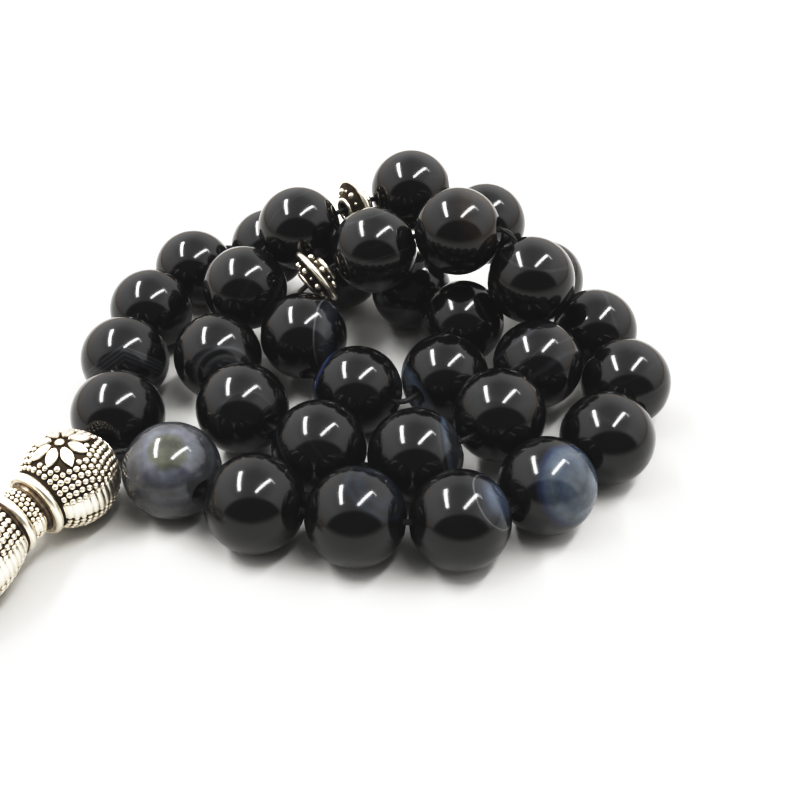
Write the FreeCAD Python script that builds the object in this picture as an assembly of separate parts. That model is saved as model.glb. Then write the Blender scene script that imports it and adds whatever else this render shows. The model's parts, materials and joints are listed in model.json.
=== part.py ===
import FreeCAD, Part
import math
import os

# Misbaha prayer beads: thirty-three round agate beads in three runs of eleven, parted by two silver
# spacer discs, on one cord that both starts and ends in a silver imam. The strand lies coiled in a
# low pile. Millimetres, +Z up, the resting surface at Z = 0, the origin under the middle of the box.

Vector = FreeCAD.Vector

# Beads
BEAD_RADIUS = 6.0
BORE_RADIUS = 1.2
BORE_CHAMFER = 0.5

# Spacer discs, turned about the cord
SPACER_HALF_LENGTH = 2.0
SPACER_RIM_RADIUS = 4.3
SPACER_RIM_HALF_WIDTH = 0.5
SPACER_SHOULDER = (1.1, 3.5)  # half length and radius where the rim band meets the flank
SPACER_HUB_RADIUS = 2.0

# Cord
CORD_DIAMETER = 0.7
CORD_SPREAD = 0.42  # each of the two runs inside the imam lies this far from its axis
CORNER_ALLOWANCE = 0.35  # how far an arc of the cord may cut inside its corner
SMALLEST_TURN = 3.0 * CORD_DIAMETER
SHARE_OF_RUN = 0.45  # how much of a straight run an arc at its end may use
ROUTE_SWEEPS = 200
MEETING_PULL = 0.03  # pulls a corner back to the middle between two bores' mouths
CENTRE_PULL = 0.35  # pulls a run onto the middle of its piece

# Imam, turned about its own axis; stations are distances from the middle of its round head
HEAD_RADIUS = 6.05
HEAD_CENTRE = Vector(-40, -24.5, HEAD_RADIUS)
TAIL_HEADING = 236.0  # degrees from +X, the way the tail points along the floor
IMAM_BORE_RADIUS = 1.5
MOUTH_DEPTH = 0.4  # how far inside the head's top the cord turns towards its first bead
MOUTH_RADIUS = 2.6
HEAD_FOOT = 4.4  # where the head's round surface meets the collar
COLLAR_STATION = 5.2
COLLAR_RADIUS = 4.3
HEAD_END = 5.7
NECK_START_RADIUS = 3.0
NECK_SWELL = 6.3  # where the neck begins to swell
NECK_RADIUS = 3.5
WAIST_FOOT_RADIUS = 3.1
WAIST_STATION = 8.85
WAIST_RADIUS = 3.9
NECK_END = 9.4
BARREL_START = 9.8
BARREL_FINISH = 25.5
BARREL_END_RADIUS = 3.9
BARREL_RADIUS = 6.05
GROOVE_RADIUS = 3.6  # the grooves between the barrel and the rings beside it
TAIL_RING_STATION = 26.65
TAIL_RING_RADIUS = 4.3
BARREL_END = 27.2
CAP_CREST = (30.6, 3.7)  # station and radius
CAP_SHOULDER = (32.6, 2.6)
CAP_END = 33.4
TIP_RADIUS = 2.4
RING_EDGE = 0.3  # how far a ring's edges lie below its crest
KNOT_RADIUS = 2.1
KNOT_ROUNDING = 0.5
KNOT_START = 27.3
KNOT_END = 30.0
CHAMBER_RADIUS = 2.6
CHAMBER_END = 30.4

# How closely the pieces lie
NEIGHBOUR_GAP = 0.12
IMAM_GAP = 0.22
SPACER_SLACK = 0.8  # extra room on either side of a disc, for the turn that the strand makes there
ACROSS_SPACER = 15.4  # least distance between the two beads beside a disc
DISC_OVERLAP_ROOM = 0.3  # a disc is flat, so other beads may come this much nearer than its rim
SETTLE_SWEEPS = 4000
SETTLED = 0.0001

# Where each bead roughly lies in the pile, in strand order from the imam; settle() makes them touch.
# The first run goes along the front and up the right side, then climbs at the back.
FIRST_RUN = [
    (-28, -23, 6), (-17, -28, 6), (-5, -31, 6), (7, -31.5, 6), (18, -25.5, 6), (26, -17.5, 6),
    (30.5, -5.5, 6), (28, 6, 6), (21.5, 16, 8), (12.5, 21, 15), (1, 24, 18.5),
]
FIRST_SPACER = (-7, 21, 17.5)
# The second run comes down the left, crosses behind the front row and climbs back over the middle.
SECOND_RUN = [
    (-14, 18, 16), (-22, 10, 11), (-25, -1, 7), (-20.5, -12.5, 7), (-10, -18.5, 6), (2, -20.5, 6),
    (12.5, -15, 8), (18.5, -4.5, 8), (18, 5.5, 15), (7.5, 10, 20), (-4.5, 10, 16),
]
SECOND_SPACER = (-11, 8, 13.5)
# The third run lies inside, dives under the others at the back and returns along the left edge.
THIRD_RUN = [
    (-12, 1.5, 9), (-6.5, -7.5, 6), (5.5, -5, 6), (9, 7, 7), (2, 16.5, 6), (-9, 22.5, 6),
    (-21, 25.5, 8), (-32, 22, 6), (-36.5, 11.5, 6), (-38, -1, 6), (-37, -13, 6),
]


def strand_order():
    """The pieces on the cord in order: name, rough place, half length and outer radius."""
    pieces = []
    runs = [(FIRST_RUN, FIRST_SPACER), (SECOND_RUN, SECOND_SPACER), (THIRD_RUN, None)]
    for number, (run, spacer) in enumerate(runs, start=1):
        for place in run:
            beads = sum(1 for piece in pieces if piece["name"].startswith("bead"))
            pieces.append({
                "name": "bead_%02d" % (beads + 1),
                "place": Vector(*place),
                "half": BEAD_RADIUS,
                "radius": BEAD_RADIUS,
            })
        if spacer:
            pieces.append({
                "name": "spacer_disc_%d" % number,
                "place": Vector(*spacer),
                "half": SPACER_HALF_LENGTH,
                "radius": SPACER_RIM_RADIUS,
            })
    return pieces


def is_spacer(piece):
    return piece["name"].startswith("spacer")


def wanted_move(pieces, i, j, distance):
    """How much too far apart (positive) or too near (negative) two pieces are."""
    one, other = pieces[i], pieces[j]
    if j == i + 1:
        slack = 0.0
        if is_spacer(one) or is_spacer(other):
            slack = SPACER_SLACK
        return distance - (one["half"] + other["half"] + NEIGHBOUR_GAP + slack)
    nearest = one["radius"] + other["radius"] + NEIGHBOUR_GAP
    if j == i + 2 and is_spacer(pieces[i + 1]):
        nearest = ACROSS_SPACER
    elif is_spacer(one) or is_spacer(other):
        nearest = one["radius"] + other["radius"] - DISC_OVERLAP_ROOM
    return min(distance - nearest, 0.0)


def settle(pieces):
    """Moves the rough places until neighbours touch, nothing overlaps and nothing is in the floor."""
    centres = [Vector(piece["place"]) for piece in pieces]
    last = len(pieces) - 1
    for sweep in range(SETTLE_SWEEPS):
        worst = 0.0
        for i in range(len(pieces)):
            for j in range(i + 1, len(pieces)):
                apart = centres[j] - centres[i]
                move = wanted_move(pieces, i, j, apart.Length)
                if move == 0.0:
                    continue
                worst = max(worst, abs(move))
                step = apart * (0.5 * move / apart.Length)
                centres[i] = centres[i] + step
                centres[j] = centres[j] - step
            if i in (0, last):
                apart = centres[i] - HEAD_CENTRE
                move = apart.Length - (BEAD_RADIUS + HEAD_RADIUS + IMAM_GAP)
                worst = max(worst, abs(move))
                centres[i] = centres[i] - apart * (move / apart.Length)
            if not is_spacer(pieces[i]):
                centres[i].z = max(centres[i].z, BEAD_RADIUS)
        if worst < SETTLED:
            break
    return centres


def unit(vector):
    return vector / vector.Length


def tail_direction():
    heading = math.radians(TAIL_HEADING)
    return Vector(math.cos(heading), math.sin(heading), 0)


def imam_point(station, side=0.0):
    """A point on the imam's axis, or to the left of it as seen looking into the strand."""
    tail = tail_direction()
    left = Vector(tail.y, -tail.x, 0)
    return HEAD_CENTRE + tail * station + left * side


def cord_route(pieces, centres):
    """Corners of the cord from end to end, and the bore direction of every piece on it."""
    mouth = -(HEAD_RADIUS - MOUTH_DEPTH)
    stops = [imam_point(mouth, -CORD_SPREAD)] + centres + [imam_point(mouth, CORD_SPREAD)]
    headings = [unit(after - before) for before, after in zip(stops, stops[2:])]
    headings[0] = unit(centres[1] - centres[0])
    meetings = [centres[0] - headings[0] * (BEAD_RADIUS + NEIGHBOUR_GAP)]
    for i in range(len(centres) - 1):
        leave = centres[i] + headings[i] * pieces[i]["half"]
        enter = centres[i + 1] - headings[i + 1] * pieces[i + 1]["half"]
        meetings.append((leave + enter) * 0.5)
    meetings.append(stops[-1])
    corners = list(meetings)
    for sweep in range(ROUTE_SWEEPS):
        for i in range(1, len(centres)):
            corners[i] = corners[i] + (meetings[i] - corners[i]) * MEETING_PULL
        for i, centre in enumerate(centres):
            along = unit(corners[i + 1] - corners[i])
            outward = centre - corners[i]
            aside = outward - along * outward.dot(along)
            corners[i] = corners[i] + aside * CENTRE_PULL
            if i < len(centres) - 1:
                corners[i + 1] = corners[i + 1] + aside * CENTRE_PULL
    axes = [unit(ahead - behind) for behind, ahead in zip(corners, corners[1:])]
    start = imam_point(KNOT_START, -CORD_SPREAD)
    finish = imam_point(KNOT_START, CORD_SPREAD)
    return [start, stops[0]] + corners + [finish], axes


def corner_radius(before, corner, after):
    """The arc at a corner, as large as its runs and the bores allow."""
    half_turn = (corner - before).getAngle(after - corner) / 2
    shorter = min((corner - before).Length, (after - corner).Length)
    roomy = SHARE_OF_RUN * shorter / math.tan(half_turn)
    inside = CORNER_ALLOWANCE / (1 / math.cos(half_turn) - 1)
    return min(roomy, max(inside, SMALLEST_TURN)), half_turn


def cord_solid(points):
    """A round tube along straight runs joined by tangent arcs."""
    edges = []
    radii = []
    start = points[0]
    for before, corner, after in zip(points, points[1:], points[2:]):
        radius, half_turn = corner_radius(before, corner, after)
        radii.append(round(radius, 2))
        back = unit(before - corner)
        ahead = unit(after - corner)
        tangent = radius * math.tan(half_turn)
        middle = corner + unit(back + ahead) * (radius / math.cos(half_turn) - radius)
        arc_start = corner + back * tangent
        arc_end = corner + ahead * tangent
        edges.append(Part.LineSegment(start, arc_start).toShape())
        edges.append(Part.Arc(arc_start, middle, arc_end).toShape())
        start = arc_end
    edges.append(Part.LineSegment(start, points[-1]).toShape())
    wire = Part.Wire(edges)
    first = unit(points[1] - points[0])
    circle = Part.makeCircle(CORD_DIAMETER / 2, points[0], first)
    tube = wire.makePipeShell([Part.Wire([circle])], True, False)
    section = math.pi * (CORD_DIAMETER / 2) ** 2
    print("cord length", round(wire.Length, 1), "tightest arc", min(radii), "arcs", radii)
    print("cord volume", round(tube.Volume, 2), "section times length", round(section * wire.Length, 2))
    return tube


def turned(outline):
    """A solid turned about the Z axis. A row (z, r) is a straight line to that point, and a row
    ((z, r), (z, r)) is an arc through the first point to the second."""
    def point(pair):
        return Vector(pair[1], 0, pair[0])

    here = point(outline[0])
    edges = []
    for row in outline[1:] + [outline[0]]:
        if isinstance(row[0], tuple):
            there = point(row[1])
            edges.append(Part.Arc(here, point(row[0]), there).toShape())
        else:
            there = point(row)
            edges.append(Part.LineSegment(here, there).toShape())
        here = there
    face = Part.Face(Part.Wire(edges))
    solid = face.revolve(Vector(0, 0, 0), Vector(0, 0, 1), 360)
    return solid if solid.Volume > 0 else solid.reversed()


def placed(shape, centre, axis):
    """Turns a shape made about Z so that it points along axis, and carries it to centre."""
    turn = FreeCAD.Rotation(Vector(0, 0, 1), axis)
    shape.Placement = FreeCAD.Placement(centre, turn)
    return shape


def bead():
    """A round bead with a straight drilled bore and chamfered mouths."""
    mouth_radius = BORE_RADIUS + BORE_CHAMFER
    mouth = math.sqrt(BEAD_RADIUS ** 2 - mouth_radius ** 2)
    wall = mouth - BORE_CHAMFER
    return turned([
        (-wall, BORE_RADIUS), (wall, BORE_RADIUS), (mouth, mouth_radius),
        ((0, BEAD_RADIUS), (-mouth, mouth_radius)),
    ])


def spacer_disc():
    """A disc with a round rim band, sloping flanks and a short hub on each side."""
    half = SPACER_HALF_LENGTH
    band = SPACER_RIM_HALF_WIDTH
    shoulder_z, shoulder_r = SPACER_SHOULDER
    band_r = SPACER_RIM_RADIUS - band
    return turned([
        (-half, BORE_RADIUS), (half, BORE_RADIUS), (half, SPACER_HUB_RADIUS),
        (shoulder_z, shoulder_r), (band, band_r),
        ((0, SPACER_RIM_RADIUS), (-band, band_r)),
        (-shoulder_z, shoulder_r), (-half, SPACER_HUB_RADIUS),
    ])


def imam_head():
    """The round head with its open mouth, and the smooth collar cast with it."""
    bore = IMAM_BORE_RADIUS
    mouth = -math.sqrt(HEAD_RADIUS ** 2 - MOUTH_RADIUS ** 2)
    foot_radius = math.sqrt(HEAD_RADIUS ** 2 - HEAD_FOOT ** 2)
    ring_edge = COLLAR_RADIUS - RING_EDGE
    return turned([
        (HEAD_END, bore), (mouth + MOUTH_RADIUS - bore, bore), (mouth, MOUTH_RADIUS),
        ((0, HEAD_RADIUS), (HEAD_FOOT, foot_radius)),
        (2 * COLLAR_STATION - HEAD_END, ring_edge), ((COLLAR_STATION, COLLAR_RADIUS), (HEAD_END, ring_edge)),
    ])


def imam_neck():
    """The narrow neck, swelling a little, with the waist ring cast on its far end."""
    bore = IMAM_BORE_RADIUS
    ring_start = 2 * WAIST_STATION - NECK_END
    ring_edge = WAIST_RADIUS - RING_EDGE
    return turned([
        (NECK_END, bore), (HEAD_END, bore), (HEAD_END, NECK_START_RADIUS), (NECK_SWELL, NECK_START_RADIUS),
        (((NECK_SWELL + ring_start) / 2, NECK_RADIUS), (ring_start, WAIST_FOOT_RADIUS)),
        (ring_start, ring_edge), ((WAIST_STATION, WAIST_RADIUS), (NECK_END, ring_edge)),
    ])


def imam_barrel():
    """The long swelling body with a smooth ring at its tail end."""
    bore = IMAM_BORE_RADIUS
    middle = (BARREL_START + BARREL_FINISH) / 2
    ring_start = 2 * TAIL_RING_STATION - BARREL_END
    ring_edge = TAIL_RING_RADIUS - RING_EDGE
    return turned([
        (BARREL_END, bore), (NECK_END, bore), (NECK_END, GROOVE_RADIUS), (BARREL_START, BARREL_END_RADIUS),
        ((middle, BARREL_RADIUS), (BARREL_FINISH, BARREL_END_RADIUS)),
        (BARREL_FINISH + RING_EDGE, GROOVE_RADIUS), (ring_start, ring_edge),
        ((TAIL_RING_STATION, TAIL_RING_RADIUS), (BARREL_END, ring_edge)),
    ])


def imam_tail_cap():
    """A domed cap that closes over the knot, with the hole that a tassel is tied through."""
    return turned([
        (CAP_END, IMAM_BORE_RADIUS), (CHAMBER_END, IMAM_BORE_RADIUS), (CHAMBER_END, CHAMBER_RADIUS),
        (BARREL_END, CHAMBER_RADIUS), (BARREL_END, GROOVE_RADIUS),
        (CAP_CREST, CAP_SHOULDER), (CAP_END, TIP_RADIUS),
    ])


def cord_knot():
    """The two ends of the cord knotted together: a rounded lump, wider than the imam's bore."""
    shoulder = KNOT_RADIUS - KNOT_ROUNDING
    middle = (KNOT_START + KNOT_END) / 2
    return turned([
        (KNOT_START, 0), (KNOT_START, shoulder), ((middle, KNOT_RADIUS), (KNOT_END, shoulder)),
        (KNOT_END, 0),
    ])


def strand_pieces(pieces, centres, axes):
    shapes = {}
    for piece, centre, axis in zip(pieces, centres, axes):
        blank = spacer_disc() if is_spacer(piece) else bead()
        shapes[piece["name"]] = placed(blank, centre, axis)
    return shapes


def imam_pieces():
    makers = {
        "imam_head": imam_head,
        "imam_neck": imam_neck,
        "imam_barrel": imam_barrel,
        "imam_tail_cap": imam_tail_cap,
        "cord_knot": cord_knot,
    }
    tail = tail_direction()
    return {name: placed(make(), HEAD_CENTRE, tail) for name, make in makers.items()}


def middle_of_floor(centres):
    """The point under the middle of the whole object, from the beads' and the imam's extents."""
    tail = tail_direction()
    low = Vector(*[min(c[k] for c in centres) - BEAD_RADIUS for k in range(3)])
    high = Vector(*[max(c[k] for c in centres) + BEAD_RADIUS for k in range(3)])
    barrel_middle = (BARREL_START + BARREL_FINISH) / 2
    rings = [
        (imam_point(barrel_middle), BARREL_RADIUS), (imam_point(TAIL_RING_STATION), TAIL_RING_RADIUS),
        (imam_point(CAP_END), TIP_RADIUS),
    ]
    for centre, radius in rings:
        low.x = min(low.x, centre.x - radius * abs(tail.y))
        low.y = min(low.y, centre.y - radius * abs(tail.x))
    return Vector((low.x + high.x) / 2, (low.y + high.y) / 2, 0)


def build():
    """Every node of the object, with the places and spin axes of the pieces on the cord."""
    pieces = strand_order()
    centres = settle(pieces)
    route, axes = cord_route(pieces, centres)
    shapes = strand_pieces(pieces, centres, axes)
    shapes.update(imam_pieces())
    shapes["cord"] = cord_solid(route)
    shift = middle_of_floor(centres) * -1
    for shape in shapes.values():
        shape.translate(shift)
    centres = [centre + shift for centre in centres]
    return shapes, pieces, centres, axes, shift


def main():
    shapes = build()[0]
    os.makedirs("parts", exist_ok=True)
    for name, shape in shapes.items():
        shape.exportStep(os.path.join("parts", name + ".step"))
    print(len(shapes), "nodes")


main()
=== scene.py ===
import json
import math
import random

import bmesh
import bpy
import numpy as np
from mathutils import Matrix, Vector


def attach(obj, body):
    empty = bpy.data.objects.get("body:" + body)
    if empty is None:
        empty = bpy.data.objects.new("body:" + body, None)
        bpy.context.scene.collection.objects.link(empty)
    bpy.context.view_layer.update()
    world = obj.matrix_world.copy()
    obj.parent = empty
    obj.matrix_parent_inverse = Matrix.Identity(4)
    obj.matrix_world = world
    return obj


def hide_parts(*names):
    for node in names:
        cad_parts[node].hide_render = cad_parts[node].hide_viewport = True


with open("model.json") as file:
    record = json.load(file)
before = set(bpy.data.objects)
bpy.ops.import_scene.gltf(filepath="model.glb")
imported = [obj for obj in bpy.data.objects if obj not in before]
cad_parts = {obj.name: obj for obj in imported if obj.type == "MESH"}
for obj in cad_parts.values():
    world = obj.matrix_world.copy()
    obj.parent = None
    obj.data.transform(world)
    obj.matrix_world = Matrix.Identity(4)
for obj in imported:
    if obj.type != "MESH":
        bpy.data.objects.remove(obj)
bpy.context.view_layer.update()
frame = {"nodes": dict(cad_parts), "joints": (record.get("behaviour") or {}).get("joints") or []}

# Misbaha prayer beads: agate beads, two silver spacer discs and a silver imam on one black cord.
# Metres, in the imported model's frame. Places and bore directions come from the frame's joints.

MM = 0.001
SHARP_ANGLE = math.radians(38)  # edges sharper than this are not smoothed

# Beads
BEAD_COUNT = 33
BEAD_RADIUS = 6.0 * MM
BORE_RADIUS = 1.2 * MM
BORE_CHAMFER = 0.5 * MM
BEAD_SEGMENTS = 96
BEAD_ROWS = 60
BEAD_SEED = 33  # of the beads' random bands

# Imam's outline, in millimetres: a station is a distance from the middle of its head towards the
# tail, and a radius is a distance from its axis
HEAD_RADIUS = 6.05
MOUTH_RADIUS = 2.6
HEAD_FOOT = 4.4
NECK_START = 5.7
WAIST_START = 8.3
WAIST_RADIUS = 3.9
BARREL_START = 9.4
BARREL_MIDDLE = 17.65
BARREL_RADIUS = 6.05
BARREL_NECK_RADIUS = 3.95
BARREL_FOOT = 25.5
GROOVE_RADIUS = 3.6
RING_RADIUS = 4.3
CAP_START = 27.2
CAP_END = 33.4
KNOT_ROOM_END = 30.4
KNOT_ROOM_RADIUS = 2.6
IMAM_BORE = 1.5

# How finely the imam's outline is sampled
IMAM_SEGMENTS = 480
FINE_STEP = 0.08 * MM
BARREL_STEP = 0.105 * MM
MOULDING_STEP = 0.09 * MM
WALL_STEP = 3.0 * MM

# Granules and ribs on the imam
GRANULE_HEIGHT = 0.36 * MM
GRANULE_PITCH = 0.93 * MM
SMALL_PITCH = 0.8 * MM
GRANULE_SHARE = 0.455   # a granule's radius as a share of the pitch
GRANULE_WANDER = 0.12   # how far granules stand out of line, as a share of the pitch
SIZE_SPREAD = 0.16      # how much their sizes differ
HEIGHT_SPREAD = 0.14    # how much their heights differ
SEAM = 0.32             # half the width of the mould seam, where granules merge into ribs, as a sine
GROOVE_DEPTH = 0.12     # depth of the grooves between ribs, in the middle of the seam
GROOVE_GAIN = 0.3       # how much deeper the grooves are at the seam's edge

# Ornament on the imam, in place of the granules
LEAF_HEIGHT = 1.25      # of a granule's height
LEAF_MARGIN = 0.28 * MM
WEAR = 1.15             # shine of a granule's top
LEAF_TARNISH = 0.6      # how much duller the leaves are
LEAF_EDGE = 0.16 * MM
VEIN_WIDTH = 0.11 * MM
VEIN_DEPTH = 0.35
ROSETTE_LEAVES = 8
ROSETTE_REACH = (3.7 * MM, 4.0 * MM)
ROSETTE_LEAF_WIDTH = 1.75 * MM
ROSETTE_ROOT = 0.95 * MM
BOSS_RADIUS = 0.7 * MM
SPRIG_MIDDLE = 18.0 * MM
SPRIG_PAIRS = 5
SPRIG_START = -5.6 * MM
SPRIG_STEP = 2.5 * MM
SPRIG_LEAF_ROOT = 0.2 * MM
SPRIG_LEAF_DROP = 0.5 * MM
SPRIG_LEAF_REACH = 2.3 * MM
SPRIG_LEAF_RISE = 1.9 * MM
SPRIG_LEAF_BEND = 0.10
SPRIG_LEAF_WIDTH = 1.35 * MM
SPRIG_END = (4.6 * MM, 7.4 * MM)
SPRIG_END_WIDTH = 1.4 * MM
STEM = (-7.2 * MM, 5.4 * MM)
STEM_WIDTH = 0.5 * MM

TINY = 1e-9  # keeps a length from being zero

# Where the imam's ornament sits, as an angle from its top, and how high it stands there
CRESTS = ((0.0, 1.0), (math.pi, 0.8))

# Spacer discs: the outline's measures in millimetres, the balls' in metres
RIM_RADIUS = 4.3
RIM_WIRE = 0.42
DISC_HUB_END = 1.75
DISC_BORE = 1.2
SPACER_SEGMENTS = 96
FLANK_STEP = 0.2 * MM
BALLS = 6
BALL_RADIUS = 0.5 * MM
GRAIN_RADIUS = 0.24 * MM
BALL_RING_RADIUS = 2.75 * MM
BALL_STATION = 0.95 * MM
GRAIN_STATION = 1.0 * MM
BALL_SHINE = 0.95
BALL_DETAIL = 3

# Camera: where it stands, how far it looks down, and its lens on a 36 mm sensor
CAMERA_PLACE = Vector((12.1, -104.0, 93.1)) * MM
CAMERA_DOWN = math.radians(39.56)
CAMERA_LENS = 46.56

# Light: the room is a white tent, open and dark behind the camera, with strip lights above.
# A strip is its start and end in the ceiling, its width and its radiance.
STRIP_HEIGHT = 0.6
STRIPS = {
    "strip_left": ((-0.53, -0.30), (-0.53, 0.66), 0.072, 21.0),
    "strip_right": ((0.12, -0.40), (0.64, 0.33), 0.052, 21.0),
    "strip_tip": ((0.66, 0.42), (0.92, 0.29), 0.03, 9.0),
}
WALLS = [  # from the table's level to overhead
    (0.0, (0.27, 0.24, 0.21)), (0.12, (0.40, 0.37, 0.34)), (0.35, (0.50, 0.50, 0.50)),
    (0.65, (0.60, 0.60, 0.60)), (0.90, (0.46, 0.46, 0.46)), (1.0, (0.52, 0.52, 0.52))]
ROOM_STRENGTH = 2.0
OPENING_HEIGHT = 0.52
OPENING_BREADTH = 0.44
OPENING_EDGE = 0.13
OPENING_LIGHT = 0.055
WALL_AHEAD, WALL_ASIDE = 0.92, 1.35
BACKDROP_LIGHT = 0.5
TABLE_HALF = 6.0

# Contrast of the camera: scene light in, display light out
BLACK_LEVEL = 0.006
TONES = [(0.03, 0.022), (0.05, 0.035), (0.1, 0.088), (0.2, 0.24), (0.28, 0.40), (0.44, 0.67), (0.7, 0.95)]


# ---------------------------------------------------------------- places

def joint(name):
    """Where a joint is and which way its axis points."""
    found = next(j for j in frame["joints"] if j["name"] == name)
    return Vector(found["pos_m"]), Vector(found["axis"]).normalized()


def seen_from_camera(centre):
    """Right, up and towards-the-camera directions for someone who looks at a point."""
    towards = (CAMERA_PLACE - centre).normalized()
    right = Vector((0, 0, 1)).cross(towards).normalized()
    return right, towards.cross(right), towards


# ---------------------------------------------------------------- mesh helpers

def mesh_object(name, vertices, faces, materials, face_materials=None):
    mesh = bpy.data.meshes.new(name)
    mesh.from_pydata(vertices, [], faces)
    for material in materials:
        mesh.materials.append(material)
    if face_materials is not None:
        mesh.polygons.foreach_set("material_index", face_materials)
    mesh.shade_smooth()
    mesh.set_sharp_from_angle(angle=SHARP_ANGLE)
    piece = bpy.data.objects.new(name, mesh)
    bpy.context.scene.collection.objects.link(piece)
    return piece


def loop_faces(rows, segments):
    """Quads of a surface whose rows and segments both close on themselves."""
    row = np.repeat(np.arange(rows), segments)
    column = np.tile(np.arange(segments), rows)
    next_row = (row + 1) % rows
    next_column = (column + 1) % segments
    corners = [
        row * segments + column, row * segments + next_column,
        next_row * segments + next_column, next_row * segments + column,
    ]
    return np.stack(corners, axis=1)


def turn_profile(stations, radii, segments):
    """Points of a profile turned about Z. Stations and radii are columns, or full grids."""
    angles = np.arange(segments) * (2 * math.pi / segments)
    grid = np.ones((len(stations), segments))
    x = radii * np.cos(angles) * grid
    y = radii * np.sin(angles) * grid
    z = stations * grid
    return np.stack([x, y, z], axis=-1).reshape(-1, 3)


def put(points, matrix):
    turn = np.array(matrix.to_3x3())
    return points @ turn.T + np.array(matrix.translation)


def trace(outline):
    """Samples of a closed outline. A row is (station, radius, step, cast, shine) for a straight
    stretch to that point, with ((station, radius), (station, radius)) in front for an arc through
    the first of them. The answer is rows of station, radius, cast and shine."""
    samples = []
    here = np.array(outline[-1][0][-1] if isinstance(outline[-1][0], tuple) else outline[-1][0:2])
    for row in outline:
        curved = isinstance(row[0], tuple)
        step, cast, shine = row[1:4] if curved else row[2:5]
        there = np.array(row[0][1] if curved else row[0:2])
        stretch = arc_points(here, np.array(row[0][0]), there, step) if curved else \
            line_points(here, there, step)
        samples += [(z, r, cast, shine) for z, r in stretch]
        here = there
    return np.array(samples, float)


def line_points(start, end, step):
    count = max(1, int(math.ceil(np.linalg.norm(end - start) / step)))
    return [start + (end - start) * (k + 1) / count for k in range(count)]


def arc_points(start, through, end, step):
    a, b = through - start, end - start
    cross = 2 * (a[0] * b[1] - a[1] * b[0])
    centre = start + np.array([
        b[1] * a.dot(a) - a[1] * b.dot(b), a[0] * b.dot(b) - b[0] * a.dot(a),
    ]) / cross
    radius = np.linalg.norm(start - centre)
    angles = [math.atan2(*(point - centre)[::-1]) for point in (start, through, end)]
    turn = (angles[2] - angles[0]) % (2 * math.pi)
    if (angles[1] - angles[0]) % (2 * math.pi) > turn:
        turn -= 2 * math.pi
    count = max(2, int(math.ceil(abs(turn) * radius / step)))
    return [
        centre + radius * np.array([math.cos(angles[0] + turn * (k + 1) / count),
                                    math.sin(angles[0] + turn * (k + 1) / count)])
        for k in range(count)
    ]


# ---------------------------------------------------------------- material helpers

def new_material(name):
    material = bpy.data.materials.new(name)
    material.use_nodes = True
    return material, material.node_tree.nodes, material.node_tree.links


def node(nodes, kind, **values):
    made = nodes.new(kind)
    for key, value in values.items():
        if key in made.inputs:
            made.inputs[key].default_value = value
        else:
            setattr(made, key, value)
    return made


def ramp(nodes, stops, interpolation="LINEAR"):
    made = nodes.new("ShaderNodeValToRGB")
    made.color_ramp.interpolation = interpolation
    elements = made.color_ramp.elements
    while len(elements) < len(stops):
        elements.new(0.5)
    for element, (position, colour) in zip(elements, stops):
        element.position = position
        element.color = (*colour, 1)
    return made


NOISE_SHIFT = (0.37, 0.71, 0.13)
NOISE_ROUGHNESS = 0.55


def object_noise(nodes, links, scale, detail=2.0, seed=0.0):
    """Noise over the object's own coordinates. seed shifts it, so that pieces differ."""
    coordinates = nodes.new("ShaderNodeTexCoord")
    shifted = node(nodes, "ShaderNodeVectorMath", operation="ADD")
    shifted.inputs[1].default_value = [seed * shift for shift in NOISE_SHIFT]
    links.new(coordinates.outputs["Object"], shifted.inputs[0])
    noise = node(nodes, "ShaderNodeTexNoise", Scale=scale, Detail=detail, Roughness=NOISE_ROUGHNESS)
    links.new(shifted.outputs[0], noise.inputs["Vector"])
    return noise.outputs["Fac"]


def bump(nodes, links, height, distance, strength=1.0):
    made = node(nodes, "ShaderNodeBump", Distance=distance, Strength=strength)
    links.new(height, made.inputs["Height"])
    return made.outputs["Normal"]


def level(nodes, links, value, low, high, out_low=0.0, out_high=1.0, soft=False):
    """Maps low..high onto out_low..out_high, with soft ends if asked."""
    made = nodes.new("ShaderNodeMapRange")
    made.interpolation_type = "SMOOTHSTEP" if soft else "LINEAR"
    for limit, number in zip(("From Min", "From Max", "To Min", "To Max"), (low, high, out_low, out_high)):
        made.inputs[limit].default_value = number
    links.new(value, made.inputs["Value"])
    return made.outputs["Result"]


# ---------------------------------------------------------------- agate

BLACK = (0.0030, 0.0030, 0.0034)
SMOKE = (0.0075, 0.0078, 0.0090)
GREY = (0.020, 0.021, 0.025)
PALE = (0.085, 0.088, 0.095)
SLATE = (0.048, 0.062, 0.085)
HAZE = (0.012, 0.015, 0.024)
INK = (0.014, 0.022, 0.050)
VIOLET = (0.030, 0.040, 0.120)
LAVENDER = (0.088, 0.092, 0.106)
MIST = (0.072, 0.088, 0.103)
STONE = (0.056, 0.058, 0.060)
DUSK = (0.070, 0.072, 0.082)
ASH = (0.032, 0.034, 0.038)
OLIVE = (0.074, 0.076, 0.060)
BROWN = (0.022, 0.015, 0.010)

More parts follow.
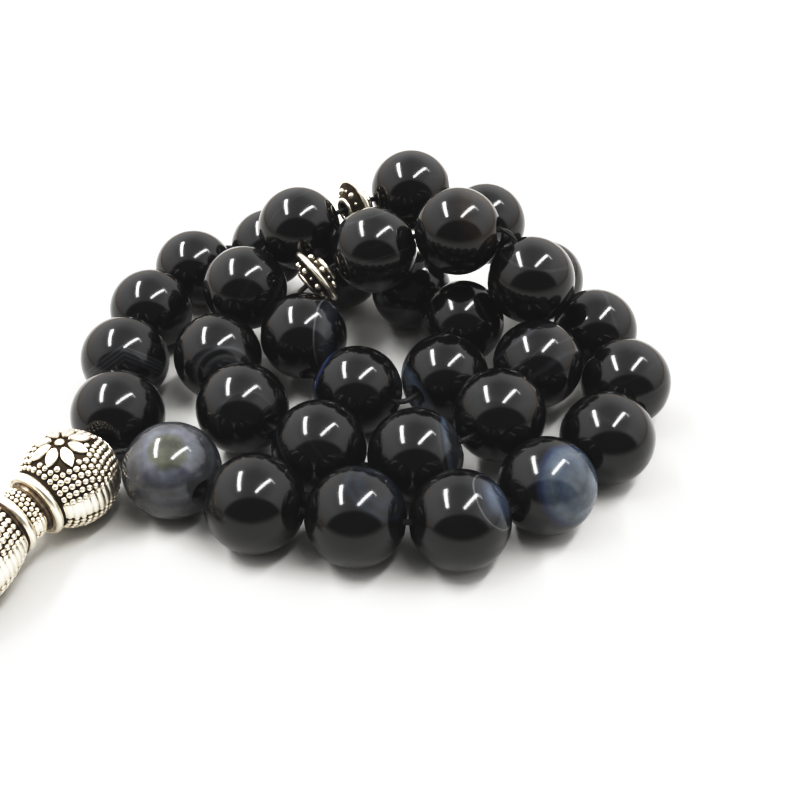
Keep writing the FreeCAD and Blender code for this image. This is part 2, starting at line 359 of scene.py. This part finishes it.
# A bead's bands are planes across the stone. The first entry is the bands' pole as the camera sees
# it (right, up, towards); then how wavy they are; then the colours along the pole, from the far
# side at -1 to the near side at 1. A fourth entry folds the bands into chevrons. In bead_01 the colours
# also hold painted shade.
BANDS_AND_SHADE = {
    # bead_01: its own bands plus painted shade. The colours below 0.75 are darkened, so its face darkens
    # towards the bottom.
    "bead_01": ((-0.01, 0.38, 0.92), 0.12, [
        (-0.6, BLACK), (-0.3, GREY), (0.0, STONE), (0.30, STONE), (0.42, ASH), (0.55, DUSK),
        (0.64, STONE), (0.76, DUSK), (0.86, LAVENDER), (0.90, LAVENDER), (0.94, OLIVE), (1.0, OLIVE)]),
    "bead_03": ((0.50, 0.62, 0.60), 0.16, [
        (0.72, BLACK), (0.80, HAZE), (0.86, SMOKE), (0.93, HAZE), (1.0, SMOKE)]),
    "bead_04": ((0.74, 0.46, 0.49), 0.035, [
        (0.70, BLACK), (0.80, SMOKE), (0.815, PALE), (0.83, SMOKE), (0.90, HAZE), (0.97, SLATE)]),
    "bead_05": ((0.67, 0.12, 0.73), 0.06, [
        (0.55, BLACK), (0.64, INK), (0.71, SLATE), (0.80, MIST), (0.88, SLATE), (1.0, MIST)]),
    "bead_14": ((0.10, -0.46, 0.88), 0.03, [
        (0.68, BLACK), (0.75, GREY), (0.79, STONE), (0.82, SMOKE), (0.86, BLACK), (0.89, STONE),
        (0.92, GREY), (1.0, BLACK)]),
    "bead_15": ((0.05, -0.30, 0.95), 0.06, [(0.72, BLACK), (0.78, SMOKE), (0.80, GREY), (0.82, BLACK)]),
    "bead_17": ((0.95, 0.20, 0.10), 0.08, [
        (0.55, BLACK), (0.62, GREY), (0.66, SMOKE), (0.72, SLATE), (0.80, GREY), (0.88, ASH)]),
    "bead_20": ((0.10, 0.92, 0.38), 0.05, [(0.55, BLACK), (0.60, GREY), (0.63, BLACK)]),
    "bead_21": ((0.60, 0.42, 0.68), 0.12, [(0.66, BLACK), (0.88, BROWN), (0.97, SMOKE)]),
    "bead_23": ((0.94, -0.08, 0.34), 0.03, [
        (0.50, BLACK), (0.53, PALE), (0.56, SMOKE), (0.70, ASH), (0.82, HAZE), (0.88, BLACK)]),
    "bead_24": ((-0.85, 0.38, -0.37), 0.02, [
        (0.60, BLACK), (0.67, VIOLET), (0.72, SLATE), (0.78, BLACK)]),
    "bead_25": ((-0.82, -0.56, 0.11), 0.06, [(0.58, BLACK), (0.68, SLATE), (0.80, MIST), (0.95, LAVENDER)]),
    "bead_32": ((0.10, 0.99, 0.0), 0.03, [
        (-0.04, BLACK), (0.02, GREY), (0.06, BLACK), (0.12, ASH), (0.16, SMOKE), (0.22, ASH),
        (0.26, SMOKE), (0.32, ASH), (0.36, BLACK)], 0.6),
}


CLOUDS = [(0.3, (0.6, 0.6, 0.6)), (0.75, (1.35, 1.35, 1.35))]
WAVE_SCALE = 180
CLOUD_SCALE = 420
POLISH_SCALE = 900
POLISH = (0.11, 0.15)
AGATE_IOR = 1.54


def quiet_bands(chance):
    """Faint smoky bands in a nearly black bead."""
    stops = [(-1.0, BLACK)]
    place = chance.uniform(-0.8, -0.3)
    while place < 0.85:
        colour = chance.choice([SMOKE, SMOKE, BLACK, GREY])
        width = chance.uniform(0.02, 0.10)
        stops += [(place, BLACK), (place + width, colour), (place + 2 * width, BLACK)]
        place += 2 * width + chance.uniform(0.15, 0.5)
    return stops


def agate(name, centre, chance):
    """Polished banded agate, nearly black between the bands."""
    material, nodes, links = new_material(name + "_agate")
    shader = nodes["Principled BSDF"]
    fold = 0
    if name in BANDS_AND_SHADE:
        pole, waviness, stops, *folds = BANDS_AND_SHADE[name]
        fold = sum(folds)
        directions = seen_from_camera(centre)
        pole = sum((d * p for d, p in zip(directions, pole)), Vector()).normalized()
    else:
        pole = Vector([chance.uniform(-1, 1) for _ in range(3)]).normalized()
        waviness = chance.uniform(0.05, 0.2)
        stops = quiet_bands(chance)
    coordinates = nodes.new("ShaderNodeTexCoord")
    along = node(nodes, "ShaderNodeVectorMath", operation="DOT_PRODUCT")
    along.inputs[1].default_value = pole / BEAD_RADIUS
    links.new(coordinates.outputs["Object"], along.inputs[0])
    seed = chance.random()
    waves = object_noise(nodes, links, WAVE_SCALE, 3.0, seed)
    offset = level(nodes, links, waves, 0.0, 1.0, -waviness, waviness)
    place = node(nodes, "ShaderNodeMath", operation="ADD")
    links.new(along.outputs["Value"], place.inputs[0])
    links.new(offset, place.inputs[1])
    if fold:
        aside = node(nodes, "ShaderNodeVectorMath", operation="DOT_PRODUCT")
        aside.inputs[1].default_value = directions[0] / BEAD_RADIUS
        links.new(coordinates.outputs["Object"], aside.inputs[0])
        slope = node(nodes, "ShaderNodeMath", operation="ABSOLUTE")
        links.new(aside.outputs["Value"], slope.inputs[0])
        folded = node(nodes, "ShaderNodeMath", operation="MULTIPLY_ADD")
        folded.inputs[1].default_value = fold
        links.new(slope.outputs[0], folded.inputs[0])
        links.new(place.outputs[0], folded.inputs[2])
        place = folded
    # The ramp holds the bead's bands. For bead_01 it also holds painted shade that darkens towards the
    # bottom of its face.
    bands = ramp(nodes, [((p + 1) / 2, colour) for p, colour in stops])
    links.new(level(nodes, links, place.outputs[0], -1, 1), bands.inputs["Fac"])
    cloud = ramp(nodes, CLOUDS)
    links.new(object_noise(nodes, links, CLOUD_SCALE, 4.0, seed + 0.5), cloud.inputs["Fac"])
    colour = node(nodes, "ShaderNodeMix", data_type="RGBA", blend_type="MULTIPLY")
    colour.inputs["Factor"].default_value = 1.0
    links.new(bands.outputs["Color"], colour.inputs["A"])
    links.new(cloud.outputs["Color"], colour.inputs["B"])
    links.new(colour.outputs["Result"], shader.inputs["Base Color"])
    wear = object_noise(nodes, links, POLISH_SCALE, 2.0, seed)
    links.new(level(nodes, links, wear, 0.35, 0.7, *POLISH), shader.inputs["Roughness"])
    shader.inputs["IOR"].default_value = AGATE_IOR
    return material


def drilled_stone():
    """The unpolished wall of a bead's bore."""
    material, nodes, links = new_material("drilled_stone")
    shader = nodes["Principled BSDF"]
    grain = object_noise(nodes, links, 2600, 3.0)
    tones = ramp(nodes, [(0.3, (0.02, 0.02, 0.022)), (0.7, (0.09, 0.088, 0.085))])
    links.new(grain, tones.inputs["Fac"])
    links.new(tones.outputs["Color"], shader.inputs["Base Color"])
    links.new(bump(nodes, links, grain, 0.05 * MM), shader.inputs["Normal"])
    shader.inputs["Roughness"].default_value = 0.75
    return material


def make_bead(name, bore_material, chance):
    """A bead with a polished round skin and an unpolished bore, at its place on the cord."""
    centre, axis = joint(name + "_spin")
    mouth_radius = BORE_RADIUS + BORE_CHAMFER
    mouth = math.sqrt(BEAD_RADIUS ** 2 - mouth_radius ** 2)
    wall = mouth - BORE_CHAMFER
    edge = math.atan2(mouth_radius, mouth)
    angles = np.linspace(edge, math.pi - edge, BEAD_ROWS)
    stations = np.concatenate([BEAD_RADIUS * np.cos(angles), [-wall, 0.0, wall]])
    radii = np.concatenate([BEAD_RADIUS * np.sin(angles), [BORE_RADIUS] * 3])
    points = turn_profile(stations[:, None], radii[:, None], BEAD_SEGMENTS)
    turn = Vector((0, 0, 1)).rotation_difference(axis).to_matrix().to_4x4()
    rows = np.arange(len(stations)).repeat(BEAD_SEGMENTS)
    piece = mesh_object(
        name + "_stone", put(points, turn), loop_faces(len(stations), BEAD_SEGMENTS)[:, ::-1],
        [agate(name, centre, chance), bore_material],
        ((rows == BEAD_ROWS) | (rows == BEAD_ROWS + 1)).astype(int))
    piece.location = centre
    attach(piece, name)
    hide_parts(name)
    return piece


# ---------------------------------------------------------------- silver

SILVER = [
    (0.08, (0.060, 0.046, 0.033)), (0.28, (0.19, 0.15, 0.105)), (0.52, (0.66, 0.60, 0.49)),
    (0.82, (0.93, 0.873, 0.75))]
WORN_ROUGHNESS = 0.3
DARK_ROUGHNESS = 0.6
PATCHES = (-0.16, 0.10)


def antique_silver(name):
    """Silver plating, blackened in the recesses. The mesh attribute shine says how worn it is."""
    material, nodes, links = new_material(name)
    shader = nodes["Principled BSDF"]
    attribute = node(nodes, "ShaderNodeAttribute", attribute_name="shine")
    patches = level(nodes, links, object_noise(nodes, links, 700, 4.0), 0.3, 0.7, *PATCHES)
    worn = node(nodes, "ShaderNodeMath", operation="ADD")
    links.new(attribute.outputs["Fac"], worn.inputs[0])
    links.new(patches, worn.inputs[1])
    tones = ramp(nodes, SILVER)
    links.new(worn.outputs[0], tones.inputs["Fac"])
    links.new(tones.outputs["Color"], shader.inputs["Base Color"])
    gloss = level(nodes, links, worn.outputs[0], 0.2, 0.7, DARK_ROUGHNESS, WORN_ROUGHNESS)
    links.new(gloss, shader.inputs["Roughness"])
    grain = object_noise(nodes, links, 4200, 2.0)
    links.new(bump(nodes, links, grain, 0.02 * MM, 0.5), shader.inputs["Normal"])
    shader.inputs["Metallic"].default_value = 1.0
    return material


def with_shine(piece, values):
    attribute = piece.data.attributes.new("shine", "FLOAT", "POINT")
    attribute.data.foreach_set("value", np.asarray(values, np.float32))


# Large numbers with no common measure, which scatter whole numbers over 0 to 1
SCATTER = (12.9898, 78.233, 43758.5453)


def speckle(row, column):
    """A repeatable number from 0 to 1 for each granule."""
    mixed = np.sin(row * SCATTER[0] + column * SCATTER[1]) * SCATTER[2]
    return mixed - np.floor(mixed)


def granules(profile, lengths, angles, pitch, ornament):
    """Heights, 0 to 1, of staggered rows of round granules over a turned surface. There are none
    on the ornament and close around it."""
    stations, radii = profile[:, 0], profile[:, 1]
    rows = max(2, int(round(lengths[-1] / (pitch * math.sqrt(3) / 2))))
    row_step = lengths[-1] / rows
    height = np.zeros((len(lengths), len(angles)))
    nearest = np.floor(lengths / row_step - 0.5)[:, None]
    for row in (nearest, nearest + 1):
        inside = (row >= 0) & (row < rows)
        middle = (row + 0.5) * row_step
        ring_radius = np.interp(middle, lengths, radii)
        ring_station = np.interp(middle, lengths, stations)
        count = np.maximum(6, np.round(2 * math.pi * ring_radius / pitch))
        turn = 2 * math.pi / count
        stagger = 0.5 * (row % 2)
        column = np.round(angles[None, :] / turn - stagger)
        chance = speckle(row, column % count)
        centre = (column + stagger + GRANULE_WANDER * (chance - 0.5)) * turn
        gap = np.hypot(lengths[:, None] - middle, ring_radius * (angles[None, :] - centre))
        size = GRANULE_SHARE * pitch * (1 + SIZE_SPREAD * (chance - 0.5))
        dome = np.sqrt(np.clip(1 - (gap / size) ** 2, 0, 1))
        bare = ornament(ring_station, ring_radius, centre, LEAF_MARGIN) > 0
        dome = np.where(inside & ~bare, dome, 0.0)
        height = np.maximum(height, dome * (1 - HEIGHT_SPREAD * (1 - speckle(column % count, row))))
    aside = np.abs(np.cos(angles)) / SEAM
    grooves = 0.5 - 0.5 * np.cos(2 * math.pi * (lengths / row_step - 0.5))
    ribs = 1 - (GROOVE_DEPTH + GROOVE_GAIN * aside) * grooves[:, None] ** 2
    return np.maximum(height, ribs * np.clip(3 * (1 - aside), 0, 1))


def leaf(across, along, root, tip, width, bend=0.0, grow=0.0):
    """Height, 0 to 1, of a pointed leaf with a vein, drawn from root to tip."""
    root, tip = np.array(root, float), np.array(tip, float)
    length = np.linalg.norm(tip - root)
    direction = (tip - root) / length
    forward = (across - root[0]) * direction[0] + (along - root[1]) * direction[1]
    share = np.clip((forward + grow) / (length + 2 * grow), 0, 1)
    aside = (along - root[1]) * direction[0] - (across - root[0]) * direction[1]
    aside = np.abs(aside - bend * length * 4 * share * (1 - share))
    half = (0.5 * width + grow) * np.sin(math.pi * share) ** 0.75
    edge = np.clip((half - aside) / LEAF_EDGE, 0, 1)
    if grow:
        return edge
    vein = VEIN_DEPTH * np.exp(-(aside / VEIN_WIDTH) ** 2) * np.clip(4 * (1 - share), 0, 1)
    return edge * (1 - vein) * (0.85 + 0.15 * np.clip(1 - aside / (0.5 * width), 0, 1))


def rosette(across, along, grow=0.0):
    """Leaves around a small boss."""
    height = np.zeros(np.broadcast(across, along).shape)
    for k in range(ROSETTE_LEAVES):
        turn = 2 * math.pi * (k + 0.5) / ROSETTE_LEAVES
        direction = np.array([math.cos(turn), math.sin(turn)])
        root, tip = ROSETTE_ROOT * direction, ROSETTE_REACH[k % 2] * direction
        height = np.maximum(height, leaf(across, along, root, tip, ROSETTE_LEAF_WIDTH, 0.0, grow))
    gap = np.hypot(across, along)
    boss = np.sqrt(np.clip(1 - (gap / (BOSS_RADIUS + grow)) ** 2, 0, 1))
    return np.maximum(height, boss > 0 if grow else boss)


def sprig(across, along, grow=0.0):
    """A stem along the barrel with paired leaves and one leaf at its end."""
    height = np.zeros(np.broadcast(across, along).shape)
    for k in range(SPRIG_PAIRS):
        foot = SPRIG_START + SPRIG_STEP * k
        for side in (-1, 1):
            root = (side * SPRIG_LEAF_ROOT, foot - SPRIG_LEAF_DROP)
            tip = (side * SPRIG_LEAF_REACH, foot + SPRIG_LEAF_RISE)
            shape = leaf(across, along, root, tip, SPRIG_LEAF_WIDTH, -side * SPRIG_LEAF_BEND, grow)
            height = np.maximum(height, shape)
    end = leaf(across, along, (0, SPRIG_END[0]), (0, SPRIG_END[1]), SPRIG_END_WIDTH, 0.0, grow)
    stem = leaf(across, along, (0, STEM[0]), (0, STEM[1]), STEM_WIDTH, 0.0, grow)
    return np.maximum(height, np.maximum(end, stem))


def on_head(motif, station, radius, angle, grow=0.0):
    """The motif on the head's top and again underneath, flat on the round surface."""
    height = 0
    for crest, share in CRESTS:
        outward = radius * np.cos(angle - crest)
        sideways = radius * np.sin(angle - crest)
        around = np.arctan2(np.hypot(sideways, station), outward) * HEAD_RADIUS * MM
        flat = np.maximum(np.hypot(sideways, station), TINY)
        height = np.maximum(height, share * motif(around * sideways / flat, around * station / flat, grow))
    return height


def on_barrel(motif, station, radius, angle, grow=0.0):
    """The motif along the barrel's top and underneath."""
    height = 0
    for crest, share in CRESTS:
        turn = (angle - crest + math.pi) % (2 * math.pi) - math.pi
        height = np.maximum(height, share * motif(radius * turn, station - SPRIG_MIDDLE, grow))
    return height


def no_ornament(station, radius, angle, grow=0.0):
    """Nothing but granules."""
    return np.zeros(np.broadcast(station, angle).shape)


def head_rosette(station, radius, angle, grow=0.0):
    return on_head(rosette, station, radius, angle, grow)


def barrel_sprig(station, radius, angle, grow=0.0):
    return on_barrel(sprig, station, radius, angle, grow)


def cast_piece(node_name, outline, material, ornament=no_ornament, pitch=GRANULE_PITCH):
    """One turned casting of the imam with its granulated zone and raised ornament."""
    centre, tail = joint("imam_turn")
    samples = trace([scaled(row) for row in outline])
    stations, radii, cast, shine = samples.T
    ahead = np.roll(samples[:, :2], -1, axis=0) - np.roll(samples[:, :2], 1, axis=0)
    normals = np.stack([-ahead[:, 1], ahead[:, 0]], axis=1)
    normals /= np.linalg.norm(normals, axis=1)[:, None]
    angles = np.arange(IMAM_SEGMENTS) * (2 * math.pi / IMAM_SEGMENTS)
    relief = np.zeros((len(samples), IMAM_SEGMENTS))
    shine = shine[:, None] * np.ones_like(relief)
    zone = np.nonzero(cast > 0)[0]
    profile = samples[zone]
    steps = np.linalg.norm(np.diff(profile[:, :2], axis=0), axis=1)
    lengths = np.concatenate([[0], np.cumsum(steps)])
    dots = granules(profile, lengths, angles, pitch, ornament)
    raised = ornament(profile[:, 0:1], profile[:, 1:2], angles[None, :])
    height = np.maximum(dots, LEAF_HEIGHT * raised)
    relief[zone] = (height - 1) * GRANULE_HEIGHT
    shine[zone] = np.clip(WEAR * height - LEAF_TARNISH * raised, 0, 1)
    z = stations[:, None] + relief * normals[:, 0:1]
    r = radii[:, None] + relief * normals[:, 1:2]
    points = turn_profile(z, r, IMAM_SEGMENTS)
    up = Vector((0, 0, 1))
    place = Matrix((up, tail.cross(up), tail)).transposed().to_4x4()
    piece = mesh_object(
        node_name + "_casting", put(points, place), loop_faces(len(samples), IMAM_SEGMENTS), [material])
    piece.location = centre
    with_shine(piece, shine.ravel())
    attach(piece, "imam")
    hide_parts(node_name)
    return piece


def scaled(row):
    """An outline row given in millimetres, in metres."""
    if isinstance(row[0], tuple):
        return (tuple(tuple(v * MM for v in point) for point in row[0]), row[1], row[2], row[3])
    return (row[0] * MM, row[1] * MM, row[2], row[3], row[4])


def make_imam(material):
    """The four silver castings on the imam's axis."""
    foot_radius = math.sqrt(HEAD_RADIUS ** 2 - HEAD_FOOT ** 2)
    flare = -math.sqrt(HEAD_RADIUS ** 2 - MOUTH_RADIUS ** 2)
    cast_piece("imam_head", [
        (-4.6, IMAM_BORE + 0.02, WALL_STEP, 0, 0.2),
        (((-5.15, IMAM_BORE + 0.45), (flare, MOUTH_RADIUS)), MOULDING_STEP, 0, 0.9),
        (((0, HEAD_RADIUS), (HEAD_FOOT, foot_radius)), FINE_STEP, 1, 1.0),
        (4.42, 3.9, MOULDING_STEP, 0, 0.05),
        (4.62, 3.85, MOULDING_STEP, 0, 0.05),
        (((5.15, RING_RADIUS), (5.66, 3.9)), MOULDING_STEP, 0, 1.0),
        (NECK_START, 3.3, MOULDING_STEP, 0, 0.5),
        (NECK_START, IMAM_BORE, WALL_STEP, 0, 0.1),
    ], material, head_rosette)
    cast_piece("imam_neck", [
        (NECK_START, IMAM_BORE, WALL_STEP, 0, 0.1),
        (NECK_START, 3.4, WALL_STEP, 0, 0.3),
        (((6.0, 2.95), (6.3, 3.15)), MOULDING_STEP, 0, 0.3),
        (((7.3, 3.5), (8.2, 3.25)), FINE_STEP, 1, 1.0),
        (8.25, 3.0, MOULDING_STEP, 0, 0.08),
        (WAIST_START, 3.5, MOULDING_STEP, 0, 0.6),
        (((8.85, WAIST_RADIUS), (BARREL_START, 3.6)), MOULDING_STEP, 0, 1.0),
        (BARREL_START, IMAM_BORE, WALL_STEP, 0, 0.1),
    ], material, pitch=SMALL_PITCH)
    cast_piece("imam_barrel", [
        (BARREL_START, IMAM_BORE, WALL_STEP, 0, 0.1),
        (BARREL_START, 3.5, WALL_STEP, 0, 0.1),
        (9.75, GROOVE_RADIUS, MOULDING_STEP, 0, 0.06),
        (9.8, BARREL_NECK_RADIUS, MOULDING_STEP, 0, 0.3),
        (((BARREL_MIDDLE, BARREL_RADIUS), (BARREL_FOOT, BARREL_NECK_RADIUS)), BARREL_STEP, 1, 1.0),
        (25.6, 3.65, MOULDING_STEP, 0, 0.1),
        (26.0, GROOVE_RADIUS, MOULDING_STEP, 0, 0.1),
        (((26.6, RING_RADIUS), (CAP_START, 3.75)), MOULDING_STEP, 0, 1.0),
        (CAP_START, IMAM_BORE, WALL_STEP, 0, 0.1),
    ], material, barrel_sprig)
    cast_piece("imam_tail_cap", [
        (CAP_START, KNOT_ROOM_RADIUS, WALL_STEP, 0, 0.1),
        (CAP_START, 3.5, WALL_STEP, 0, 0.1),
        (27.5, GROOVE_RADIUS, MOULDING_STEP, 0, 0.1),
        (((30.6, 3.7), (32.55, 2.65)), FINE_STEP, 1, 1.0),
        (32.6, 2.35, MOULDING_STEP, 0, 0.1),
        (((33.0, 2.4), (CAP_END, 2.1)), MOULDING_STEP, 0, 1.0),
        (CAP_END, IMAM_BORE, MOULDING_STEP, 0, 0.3),
        (KNOT_ROOM_END, IMAM_BORE, WALL_STEP, 0, 0.1),
        (KNOT_ROOM_END, KNOT_ROOM_RADIUS, WALL_STEP, 0, 0.1),
    ], material, pitch=SMALL_PITCH)


# ---------------------------------------------------------------- spacer discs

def add_ball(mesh, shine_layer, turn, station, radius):
    """One ball on a disc's flank."""
    place = Vector((BALL_RING_RADIUS * math.cos(turn), BALL_RING_RADIUS * math.sin(turn), station))
    made = bmesh.ops.create_icosphere(
        mesh, subdivisions=BALL_DETAIL, radius=radius, matrix=Matrix.Translation(place))
    for vertex in made["verts"]:
        vertex[shine_layer] = BALL_SHINE


def make_spacer(name, material):
    """A spacer disc: a bright rim wire, a ring of large and small balls on each flank, hub rings."""
    centre, axis = joint(name + "_spin")
    foot = RIM_RADIUS - RIM_WIRE - 0.1
    outline = [scaled(row) for row in [
        (DISC_HUB_END, DISC_BORE, WALL_STEP, 0, 0.1),
        (((2.0, 1.6), (1.7, 1.95)), MOULDING_STEP, 0, 1.0),
        (1.45, 1.85, MOULDING_STEP, 0, 0.1),
        (0.75, 3.0, FLANK_STEP, 0, 0.1),
        (RIM_WIRE, foot, FLANK_STEP, 0, 0.1),
        (((0, RIM_RADIUS), (-RIM_WIRE, foot)), MOULDING_STEP, 0, 1.0),
        (-0.75, 3.0, FLANK_STEP, 0, 0.1),
        (-1.45, 1.85, FLANK_STEP, 0, 0.1),
        (((-1.9, 1.9), (-DISC_HUB_END, DISC_BORE)), MOULDING_STEP, 0, 1.0),
    ]]
    samples = trace(outline)
    points = turn_profile(samples[:, 0:1], samples[:, 1:2], SPACER_SEGMENTS)
    body = bpy.data.meshes.new(name)
    body.from_pydata(points, [], loop_faces(len(samples), SPACER_SEGMENTS)[:, ::-1])
    mesh = bmesh.new()
    mesh.from_mesh(body)
    shine_layer = mesh.verts.layers.float.new("shine")
    mesh.verts.ensure_lookup_table()
    for vertex, value in zip(mesh.verts, samples[:, 3].repeat(SPACER_SEGMENTS)):
        vertex[shine_layer] = value
    for side in (-1, 1):
        for k in range(BALLS):
            turn = 2 * math.pi * (k + 0.25 * side) / BALLS
            add_ball(mesh, shine_layer, turn, side * BALL_STATION, BALL_RADIUS)
            between = turn + math.pi / BALLS
            add_ball(mesh, shine_layer, between, side * GRAIN_STATION, GRAIN_RADIUS)
    bpy.data.meshes.remove(body)
    made = bpy.data.meshes.new(name + "_casting")
    mesh.to_mesh(made)
    mesh.free()
    made.materials.append(material)
    made.shade_smooth()
    piece = bpy.data.objects.new(name + "_casting", made)
    bpy.context.scene.collection.objects.link(piece)
    piece.rotation_mode = "QUATERNION"
    piece.rotation_quaternion = Vector((0, 0, 1)).rotation_difference(axis)
    piece.location = centre
    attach(piece, name)
    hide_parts(name)


# ---------------------------------------------------------------- cord

def thread():
    """Waxed black thread: a fine twist with a few lighter fibres."""
    material, nodes, links = new_material("waxed_thread")
    shader = nodes["Principled BSDF"]
    coordinates = nodes.new("ShaderNodeTexCoord")
    twist = node(nodes, "ShaderNodeTexWave", Scale=900.0, Distortion=2.0, Detail=2.0)
    twist.bands_direction = "DIAGONAL"
    links.new(coordinates.outputs["Object"], twist.inputs["Vector"])
    tones = ramp(nodes, [(0.0, (0.006, 0.006, 0.006)), (1.0, (0.016, 0.016, 0.015))])
    links.new(twist.outputs["Fac"], tones.inputs["Fac"])
    links.new(tones.outputs["Color"], shader.inputs["Base Color"])
    links.new(bump(nodes, links, twist.outputs["Fac"], 0.05 * MM), shader.inputs["Normal"])
    shader.inputs["Roughness"].default_value = 0.6
    shader.inputs["Sheen Weight"].default_value = 0.08
    return material


# ---------------------------------------------------------------- room, lights and camera

def make_floor():
    """A pale matt table top, far wider than the view."""
    mesh = bpy.data.meshes.new("table")
    corners = [(TABLE_HALF * x, TABLE_HALF * y, 0) for x, y in ((-1, -1), (1, -1), (1, 1), (-1, 1))]
    mesh.from_pydata(corners, [], [(0, 1, 2, 3)])
    floor = bpy.data.objects.new("table", mesh)
    bpy.context.scene.collection.objects.link(floor)
    material, nodes, links = new_material("table_paper")
    shader = nodes["Principled BSDF"]
    tones = ramp(nodes, [(0.3, (0.60, 0.595, 0.58)), (0.7, (0.62, 0.616, 0.60))])
    links.new(object_noise(nodes, links, 40, 3.0), tones.inputs["Fac"])
    links.new(tones.outputs["Color"], shader.inputs["Base Color"])
    shader.inputs["Roughness"].default_value = 0.9
    shader.inputs["Specular IOR Level"].default_value = 0.1
    mesh.materials.append(material)


def strip_light(name, start, end, width, radiance):
    """A long soft box in the ceiling, from start to end, facing down at the beads."""
    start, end = (Vector((x, y, 1)) * STRIP_HEIGHT for x, y in (start, end))
    middle = (start + end) / 2
    long_way = (end - start).normalized()
    facing = middle.normalized()
    light = bpy.data.lights.new(name, "AREA")
    light.shape = "RECTANGLE"
    light.size = (end - start).length
    light.size_y = width
    light.energy = radiance * math.pi * light.size * light.size_y
    lamp = bpy.data.objects.new(name, light)
    x = (long_way - facing * long_way.dot(facing)).normalized()
    lamp.matrix_world = Matrix((x, facing.cross(x), facing)).transposed().to_4x4()
    lamp.location = middle
    bpy.context.scene.collection.objects.link(lamp)


def make_room():
    """Soft white walls, brightest at mid height, with a dark opening on the camera's side."""
    world = bpy.data.worlds.new("tent")
    world.use_nodes = True
    nodes, links = world.node_tree.nodes, world.node_tree.links
    background = nodes["Background"]
    direction = node(nodes, "ShaderNodeSeparateXYZ")
    links.new(nodes.new("ShaderNodeTexCoord").outputs["Generated"], direction.inputs[0])

    def math_node(operation, first, second):
        made = node(nodes, "ShaderNodeMath", operation=operation)
        for socket, value in zip(made.inputs, (first, second)):
            if isinstance(value, (int, float)):
                socket.default_value = value
            else:
                links.new(value, socket)
        return made.outputs[0]

    x, y, z = direction.outputs
    walls = ramp(nodes, WALLS)
    links.new(z, walls.inputs["Fac"])
    across = math_node("ABSOLUTE", x, 0)
    front = math_node("MULTIPLY", y, -1)
    height = math_node("MULTIPLY", z, OPENING_HEIGHT)
    breadth = math_node("MULTIPLY", x, OPENING_BREADTH)
    squares = math_node("ADD", math_node("POWER", height, 2), math_node("MULTIPLY", breadth, breadth))
    arch = math_node("SUBTRACT", front, math_node("SQRT", squares, 0))
    opening = level(nodes, links, math_node("MINIMUM", arch, z), 0.0, OPENING_EDGE, soft=True)
    sideways = level(nodes, links, across, 0, 1, WALL_AHEAD, WALL_ASIDE)
    lit = node(nodes, "ShaderNodeVectorMath", operation="SCALE")
    links.new(walls.outputs["Color"], lit.inputs[0])
    links.new(sideways, lit.inputs["Scale"])
    shade = node(nodes, "ShaderNodeMix", data_type="RGBA")
    shade.inputs["B"].default_value = (*[OPENING_LIGHT] * 3, 1)
    links.new(opening, shade.inputs["Factor"])
    links.new(lit.outputs[0], shade.inputs["A"])
    seen = node(nodes, "ShaderNodeMix", data_type="RGBA")
    seen.inputs["B"].default_value = (*[BACKDROP_LIGHT] * 3, 1)
    links.new(nodes.new("ShaderNodeLightPath").outputs["Is Camera Ray"], seen.inputs["Factor"])
    links.new(shade.outputs["Result"], seen.inputs["A"])
    links.new(seen.outputs["Result"], background.inputs["Color"])
    background.inputs["Strength"].default_value = ROOM_STRENGTH
    bpy.context.scene.world = world


def make_camera():
    camera = bpy.data.objects.new("camera", bpy.data.cameras.new("camera"))
    camera.location = CAMERA_PLACE
    camera.rotation_euler = (math.pi / 2 - CAMERA_DOWN, 0, 0)
    camera.data.lens = CAMERA_LENS
    camera.data.clip_start = 0.01
    bpy.context.scene.collection.objects.link(camera)
    bpy.context.scene.camera = camera


def set_tones():
    view = bpy.context.scene.view_settings
    view.view_transform = "Standard"
    view.use_curve_mapping = True
    view.curve_mapping.extend = "HORIZONTAL"
    curve = view.curve_mapping.curves[3]
    curve.points[0].location = (0, BLACK_LEVEL)
    for light, shown in TONES:
        curve.points.new(light, shown)
    view.curve_mapping.update()


# ---------------------------------------------------------------- the scene

make_camera()
make_room()
for name, strip in STRIPS.items():
    strip_light(name, *strip)
make_floor()
set_tones()

chance = random.Random(BEAD_SEED)
bore_stone = drilled_stone()
for number in range(1, BEAD_COUNT + 1):
    make_bead("bead_%02d" % number, bore_stone, chance)

silver = antique_silver("antique_silver")
make_imam(silver)
for number in (1, 2):
    make_spacer("spacer_disc_%d" % number, silver)

black_thread = thread()
for part in ("cord", "cord_knot"):
    frame["nodes"][part].data.materials.clear()
    frame["nodes"][part].data.materials.append(black_thread)
